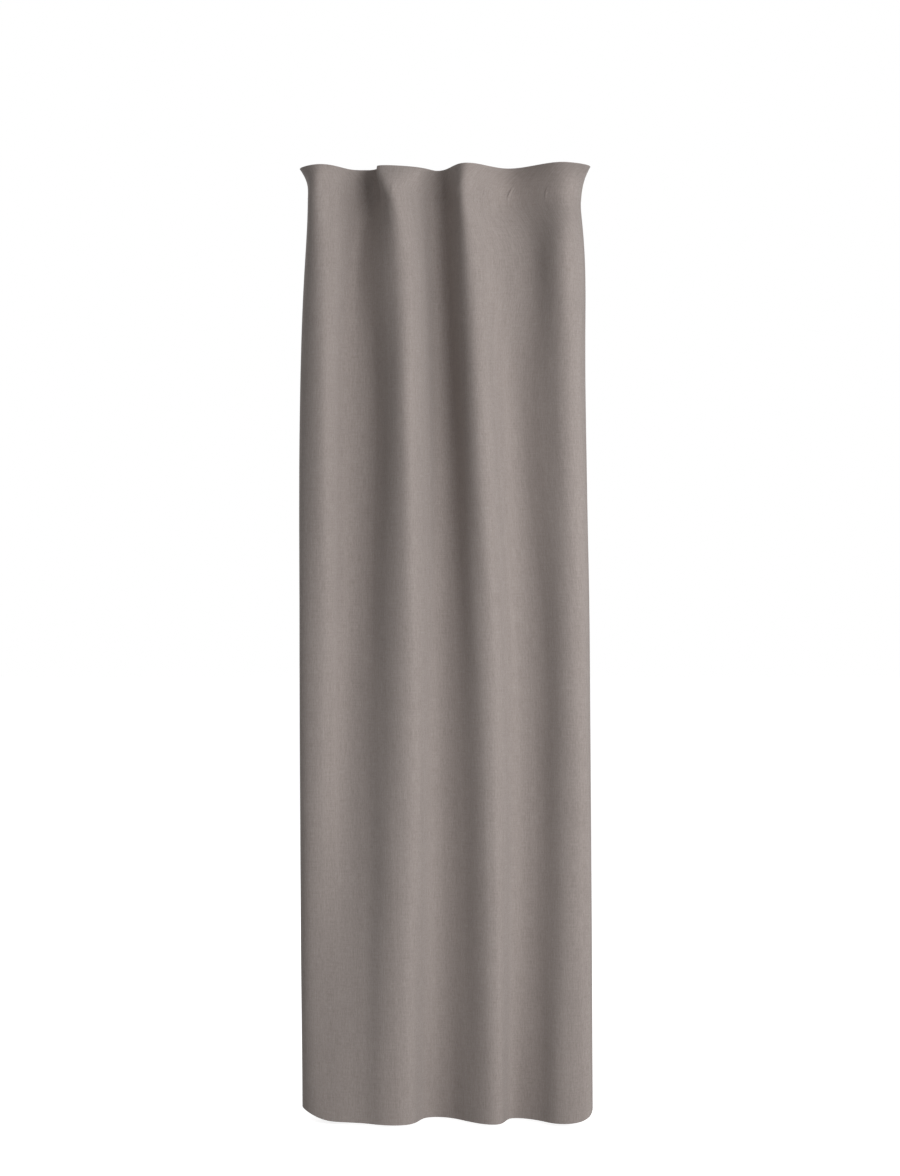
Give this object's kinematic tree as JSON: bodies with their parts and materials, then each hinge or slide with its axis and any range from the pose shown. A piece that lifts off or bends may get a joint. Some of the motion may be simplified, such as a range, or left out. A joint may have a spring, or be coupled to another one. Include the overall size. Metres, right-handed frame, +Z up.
{
  "type": "curtain panel",
  "caption": "Room curtain panel of plain woven fabric, hanging in soft upright folds from hooks in a gathering tape behind its heading.",
  "frame": {"origin": "on the hang line, the line through the crooks of the hooks, midway along the heading", "axes": "+X along the rail to the leading edge, +Y to the wall, +Z up; the room side faces -Y"},
  "size_m": [0.7722, 0.195, 2.5011],
  "materials": {
    "cloth": "matt fine plain weave, warm taupe grey",
    "tape": "white woven tape",
    "thread": "spun polyester thread",
    "cord": "braided white cord",
    "label": "satin ribbon, blank",
    "hook": "moulded, slightly yellowed white"
  },
  "bodies": {
    "panel": {"face_cloth": "cloth", "heading_turn": "cloth", "side_hem_left": "cloth", "side_hem_right": "cloth", "bottom_hem": "cloth", "heading_tape": "tape", "tape_stitching_upper": "thread", "tape_stitching_lower": "thread", "side_stitching_left": "thread", "side_stitching_right": "thread", "bottom_hem_stitching": "thread", "draw_cord_upper": "cord", "draw_cord_lower": "cord", "care_label": "label", "cord_knot_upper_left": "cord", "cord_knot_lower_left": "cord", "hook_pocket_a": "tape"},
    "hook_a": {"curtain_hook_a": "hook"},
    "pocket_b": {"hook_pocket_b": "tape"},
    "hook_b": {"curtain_hook_b": "hook"},
    "pocket_c": {"hook_pocket_c": "tape"},
    "hook_c": {"curtain_hook_c": "hook"},
    "pocket_d": {"hook_pocket_d": "tape"},
    "hook_d": {"curtain_hook_d": "hook"},
    "pocket_e": {"hook_pocket_e": "tape", "cord_knot_upper_right": "cord", "cord_knot_lower_right": "cord"},
    "hook_e": {"curtain_hook_e": "hook"}
  },
  "joints": [
    {"name": "draw_e", "type": "slide", "parent": "panel", "child": "pocket_e", "axis": [-1, 0, 0], "range_m": [0, 0.412], "deforming": ["face_cloth", "heading_turn", "side_hem_left", "side_hem_right", "bottom_hem", "heading_tape", "tape_stitching_upper", "tape_stitching_lower", "side_stitching_left", "side_stitching_right", "bottom_hem_stitching", "draw_cord_upper", "draw_cord_lower", "care_label"]},
    {"name": "tilt_a", "type": "hinge", "parent": "panel", "child": "hook_a", "pos_m": [-0.322, -0.00645, -0.031], "axis": [1, 0, 0], "range_deg": [-10, 10]},
    {"name": "draw_b", "type": "slide", "parent": "panel", "child": "pocket_b", "axis": [-1, 0, 0], "range_m": [0, 0.07677]},
    {"name": "tilt_b", "type": "hinge", "parent": "pocket_b", "child": "hook_b", "pos_m": [-0.202, -0.00645, -0.031], "axis": [1, 0, 0], "range_deg": [-10, 10]},
    {"name": "draw_c", "type": "slide", "parent": "panel", "child": "pocket_c", "axis": [-1, 0, 0], "range_m": [0, 0.19576]},
    {"name": "tilt_c", "type": "hinge", "parent": "pocket_c", "child": "hook_c", "pos_m": [-0.016, -0.00645, -0.031], "axis": [1, 0, 0], "range_deg": [-10, 10]},
    {"name": "draw_d", "type": "slide", "parent": "panel", "child": "pocket_d", "axis": [-1, 0, 0], "range_m": [0, 0.31604]},
    {"name": "tilt_d", "type": "hinge", "parent": "pocket_d", "child": "hook_d", "pos_m": [0.172, -0.00645, -0.031], "axis": [1, 0, 0], "range_deg": [-10, 10]},
    {"name": "tilt_e", "type": "hinge", "parent": "pocket_e", "child": "hook_e", "pos_m": [0.322, -0.00645, -0.031], "axis": [1, 0, 0], "range_deg": [-10, 10]}
  ],
  "couplings": [
    {"joint": "draw_b", "follows": "draw_e", "ratio": 0.18634},
    {"joint": "draw_c", "follows": "draw_e", "ratio": 0.47515},
    {"joint": "draw_d", "follows": "draw_e", "ratio": 0.76708}
  ]
}
